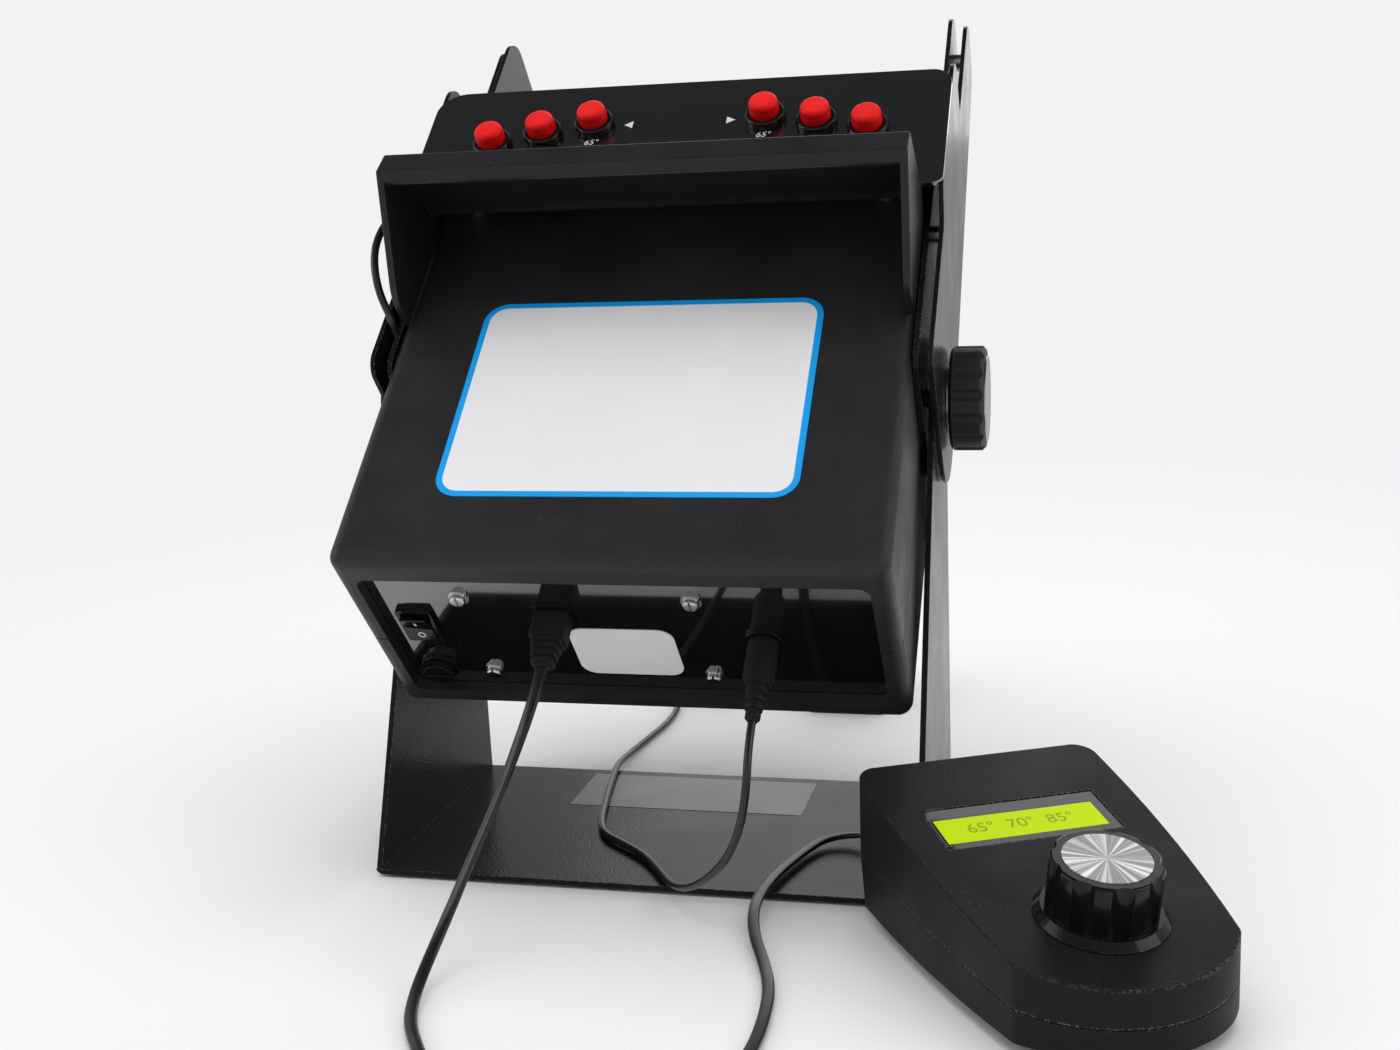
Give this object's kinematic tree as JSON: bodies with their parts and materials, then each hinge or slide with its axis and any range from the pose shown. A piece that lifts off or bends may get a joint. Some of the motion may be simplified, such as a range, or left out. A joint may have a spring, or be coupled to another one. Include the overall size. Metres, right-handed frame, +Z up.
{
  "type": "vision screener",
  "caption": "Desktop vision screener: a closed test case that tilts in a bent steel stand, with a push-button peripheral unit on top and a wired handset with display and dial.",
  "frame": {"origin": "centre of the stand's footprint, on the surface that it stands on", "axes": "+Z up, +X to the operator's right, +Y from the operator towards the patient"},
  "size_m": [0.36, 0.5127, 0.3548],
  "materials": {
    "stand_steel": "satin",
    "moulded_black": "textured",
    "gloss_black": "gloss",
    "button_red": "semi-gloss",
    "label_white": "printed",
    "bright_screw": "bright",
    "spun_aluminium": "spun",
    "plain_steel": "plated",
    "display_green": "backlit",
    "window_dark": "clear",
    "soft_rubber": "matt",
    "cord_black": "satin",
    "board_green": "solder mask",
    "lens_glass": "clear",
    "diffuser_white": "frosted",
    "slide_film": "film",
    "lamp_clear": "clear",
    "pad_vinyl": "padded"
  },
  "bodies": {
    "base": {"stand_frame": "stand_steel", "base_mat": "soft_rubber", "handset_upper_shell": "moulded_black", "handset_lower_shell": "moulded_black", "handset_feet": "soft_rubber", "handset_window": "window_dark", "handset_display": "display_green", "handset_encoder": "plain_steel", "handset_strain_relief": "cord_black", "data_cord": "cord_black", "power_cord": "cord_black", "power_cord_coil": "cord_black", "power_adapter": "moulded_black"},
    "head": {"case_upper": "moulded_black", "case_lower": "moulded_black", "case_screws": "plain_steel", "control_panel": "gloss_black", "panel_fixings": "bright_screw", "main_board": "board_green", "case_labels": "label_white", "switch_body": "gloss_black", "fuse_holder": "moulded_black", "modular_socket": "moulded_black", "dc_jack": "moulded_black", "modular_plug": "moulded_black", "dc_plug": "moulded_black", "hood": "moulded_black", "eyepiece_tubes": "moulded_black", "eyepiece_lenses": "lens_glass", "face_mask": "soft_rubber", "forehead_pad": "pad_vinyl", "drum_brackets": "plain_steel", "drum_motor": "moulded_black", "light_box": "diffuser_white", "pivot_plates": "plain_steel", "peripheral_bracket": "stand_steel", "wing_plates": "stand_steel", "unit_spacers": "plain_steel", "peripheral_leds": "lamp_clear", "peripheral_board": "board_green", "button_panel": "gloss_black", "button_housings": "gloss_black", "link_cable": "cord_black"},
    "dial": {"handset_dial": "gloss_black", "handset_dial_disc": "spun_aluminium"},
    "rocker": {"switch_rocker": "gloss_black"},
    "fuse_cap": {"fuse_cap": "gloss_black"},
    "drum": {"test_drum": "moulded_black", "test_slides": "slide_film", "drum_shaft": "plain_steel"},
    "clamp_left": {"clamp_knob_left": "gloss_black", "clamp_core_left": "plain_steel"},
    "clamp_right": {"clamp_knob_right": "gloss_black", "clamp_core_right": "plain_steel"},
    "button_left_85": {"button_left_85": "button_red"},
    "button_left_70": {"button_left_70": "button_red"},
    "button_left_65": {"button_left_65": "button_red"},
    "button_right_85": {"button_right_85": "button_red"},
    "button_right_70": {"button_right_70": "button_red"},
    "button_right_65": {"button_right_65": "button_red"}
  },
  "joints": [
    {"name": "head_tilt", "type": "hinge", "parent": "base", "child": "head", "pos_m": [0, 0.033, 0.188], "axis": [1, 0, 0], "range_deg": [-20, 20], "deforming": ["data_cord", "power_cord"]},
    {"name": "dial_turn", "type": "hinge", "parent": "base", "child": "dial", "pos_m": [0.18141, -0.14119, 0.03559], "axis": [0.0877, -0.1685, 0.9818], "continuous": true},
    {"name": "rocker_tip", "type": "hinge", "parent": "head", "child": "rocker", "pos_m": [-0.0857, -0.06904, 0.11093], "axis": [1, 0, 0], "range_deg": [-14, 0]},
    {"name": "fuse_cap_turn", "type": "hinge", "parent": "head", "child": "fuse_cap", "pos_m": [-0.0865, -0.04781, 0.08765], "axis": [0, 0.7431, 0.6691], "range_deg": [0, 90]},
    {"name": "drum_turn", "type": "hinge", "parent": "head", "child": "drum", "pos_m": [0, -0.00951, 0.16049], "axis": [1, 0, 0], "continuous": true},
    {"name": "clamp_left_turn", "type": "hinge", "parent": "head", "child": "clamp_left", "pos_m": [-0.125, 0.033, 0.188], "axis": [1, 0, 0], "continuous": true},
    {"name": "clamp_right_turn", "type": "hinge", "parent": "head", "child": "clamp_right", "pos_m": [0.125, 0.033, 0.188], "axis": [1, 0, 0], "continuous": true},
    {"name": "button_left_85_press", "type": "slide", "parent": "head", "child": "button_left_85", "axis": [0, 0.6691, -0.7431], "range_m": [0, 0.0025], "stiffness_N_per_m": 300, "springref_m": -0.002},
    {"name": "button_left_70_press", "type": "slide", "parent": "head", "child": "button_left_70", "axis": [0, 0.6691, -0.7431], "range_m": [0, 0.0025], "stiffness_N_per_m": 300, "springref_m": -0.002},
    {"name": "button_left_65_press", "type": "slide", "parent": "head", "child": "button_left_65", "axis": [0, 0.6691, -0.7431], "range_m": [0, 0.0025], "stiffness_N_per_m": 300, "springref_m": -0.002},
    {"name": "button_right_85_press", "type": "slide", "parent": "head", "child": "button_right_85", "axis": [0, 0.6691, -0.7431], "range_m": [0, 0.0025], "stiffness_N_per_m": 300, "springref_m": -0.002},
    {"name": "button_right_70_press", "type": "slide", "parent": "head", "child": "button_right_70", "axis": [0, 0.6691, -0.7431], "range_m": [0, 0.0025], "stiffness_N_per_m": 300, "springref_m": -0.002},
    {"name": "button_right_65_press", "type": "slide", "parent": "head", "child": "button_right_65", "axis": [0, 0.6691, -0.7431], "range_m": [0, 0.0025], "stiffness_N_per_m": 300, "springref_m": -0.002}
  ]
}
